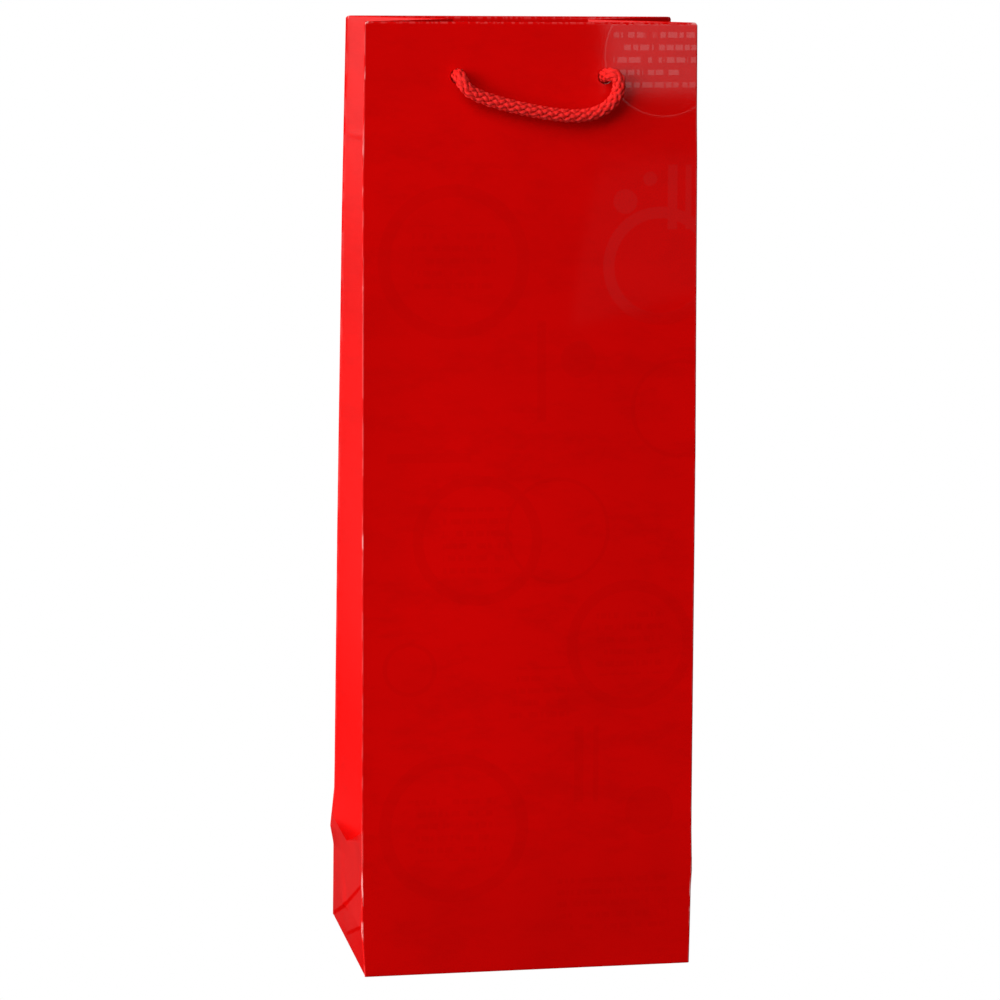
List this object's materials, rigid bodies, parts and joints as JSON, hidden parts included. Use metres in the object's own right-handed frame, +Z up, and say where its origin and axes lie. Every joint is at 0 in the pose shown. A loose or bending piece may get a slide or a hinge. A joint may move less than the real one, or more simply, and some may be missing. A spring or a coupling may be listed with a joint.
{
  "type": "gift bag",
  "caption": "Tall narrow paper gift bag for a bottle, with folding side gussets, a turned-in stiffened top and a rope handle on each wall.",
  "frame": {"origin": "middle of the underside, on the surface that the bag stands on", "axes": "+Z up, -Y out of the front wall, +X to the right seen from the front"},
  "size_m": [0.12, 0.08, 0.3413],
  "materials": {
    "printed_paper": "gloss laminate",
    "hem_paper": "gloss laminate",
    "hem_card": "uncoated",
    "base_board": "uncoated",
    "rope": "braided"
  },
  "bodies": {
    "base": {"foot_front": "printed_paper", "foot_back": "printed_paper", "foot_left": "printed_paper", "foot_right": "printed_paper", "bottom_flap_front": "printed_paper", "bottom_flap_back": "printed_paper", "bottom_flap_left": "printed_paper", "bottom_flap_right": "printed_paper"},
    "board": {"base_board": "base_board"},
    "front_wall": {"front_panel": "printed_paper", "front_card": "hem_card", "front_hem": "hem_paper", "front_rope_end_left": "rope", "front_rope_end_right": "rope", "front_knot_left": "rope", "front_knot_right": "rope"},
    "back_wall": {"back_panel": "printed_paper", "back_card": "hem_card", "back_hem": "hem_paper", "seam_tab": "printed_paper", "back_rope_end_left": "rope", "back_rope_end_right": "rope", "back_knot_left": "rope", "back_knot_right": "rope"},
    "front_handle": {"front_handle": "rope"},
    "back_handle": {"back_handle": "rope"},
    "left_gusset_front": {"left_gusset_front": "printed_paper", "left_gusset_hem_front": "hem_paper"},
    "left_gusset_back": {"left_gusset_back": "printed_paper", "left_gusset_hem_back": "hem_paper"},
    "right_gusset_front": {"right_gusset_front": "printed_paper", "right_gusset_hem_front": "hem_paper"},
    "right_gusset_back": {"right_gusset_back": "printed_paper", "right_gusset_hem_back": "hem_paper"}
  },
  "joints": [
    {"name": "front_wall_lean", "type": "hinge", "parent": "base", "child": "front_wall", "pos_m": [0, -0.04, 0.04], "axis": [1, 0, 0], "range_deg": [-1.8, 3.1]},
    {"name": "back_wall_lean", "type": "hinge", "parent": "base", "child": "back_wall", "pos_m": [0, 0.04, 0.04], "axis": [-1, 0, 0], "range_deg": [-1.8, 3.1]},
    {"name": "front_handle_swing", "type": "hinge", "parent": "front_wall", "child": "front_handle", "pos_m": [0, -0.02631, 0.32233], "axis": [-1, 0, 0], "range_deg": [0, 170]},
    {"name": "back_handle_swing", "type": "hinge", "parent": "back_wall", "child": "back_handle", "pos_m": [0, 0.02631, 0.32233], "axis": [1, 0, 0], "range_deg": [0, 170]},
    {"name": "base_board_lift", "type": "slide", "parent": "base", "child": "board", "axis": [0, 0, 1], "range_m": [0, 0.03]},
    {"name": "left_gusset_front_fold", "type": "hinge", "parent": "front_wall", "child": "left_gusset_front", "pos_m": [-0.06, -0.04, 0.04], "axis": [-0.8, -0.6, 0], "range_deg": [-2.3, 3.92], "deforming": ["left_gusset_front", "left_gusset_hem_front"]},
    {"name": "left_gusset_back_fold", "type": "hinge", "parent": "back_wall", "child": "left_gusset_back", "pos_m": [-0.06, 0.04, 0.04], "axis": [0.8, -0.6, 0], "range_deg": [-2.3, 3.92], "deforming": ["left_gusset_back", "left_gusset_hem_back"]},
    {"name": "right_gusset_front_fold", "type": "hinge", "parent": "front_wall", "child": "right_gusset_front", "pos_m": [0.06, -0.04, 0.04], "axis": [-0.8, 0.6, 0], "range_deg": [-2.3, 3.92], "deforming": ["right_gusset_front", "right_gusset_hem_front"]},
    {"name": "right_gusset_back_fold", "type": "hinge", "parent": "back_wall", "child": "right_gusset_back", "pos_m": [0.06, 0.04, 0.04], "axis": [0.8, 0.6, 0], "range_deg": [-2.3, 3.92], "deforming": ["right_gusset_back", "right_gusset_hem_back"]}
  ],
  "couplings": [
    {"joint": "back_wall_lean", "follows": "front_wall_lean", "ratio": 1},
    {"joint": "left_gusset_front_fold", "follows": "front_wall_lean", "ratio": 1.25},
    {"joint": "left_gusset_back_fold", "follows": "front_wall_lean", "ratio": 1.25},
    {"joint": "right_gusset_front_fold", "follows": "front_wall_lean", "ratio": 1.25},
    {"joint": "right_gusset_back_fold", "follows": "front_wall_lean", "ratio": 1.25}
  ]
}
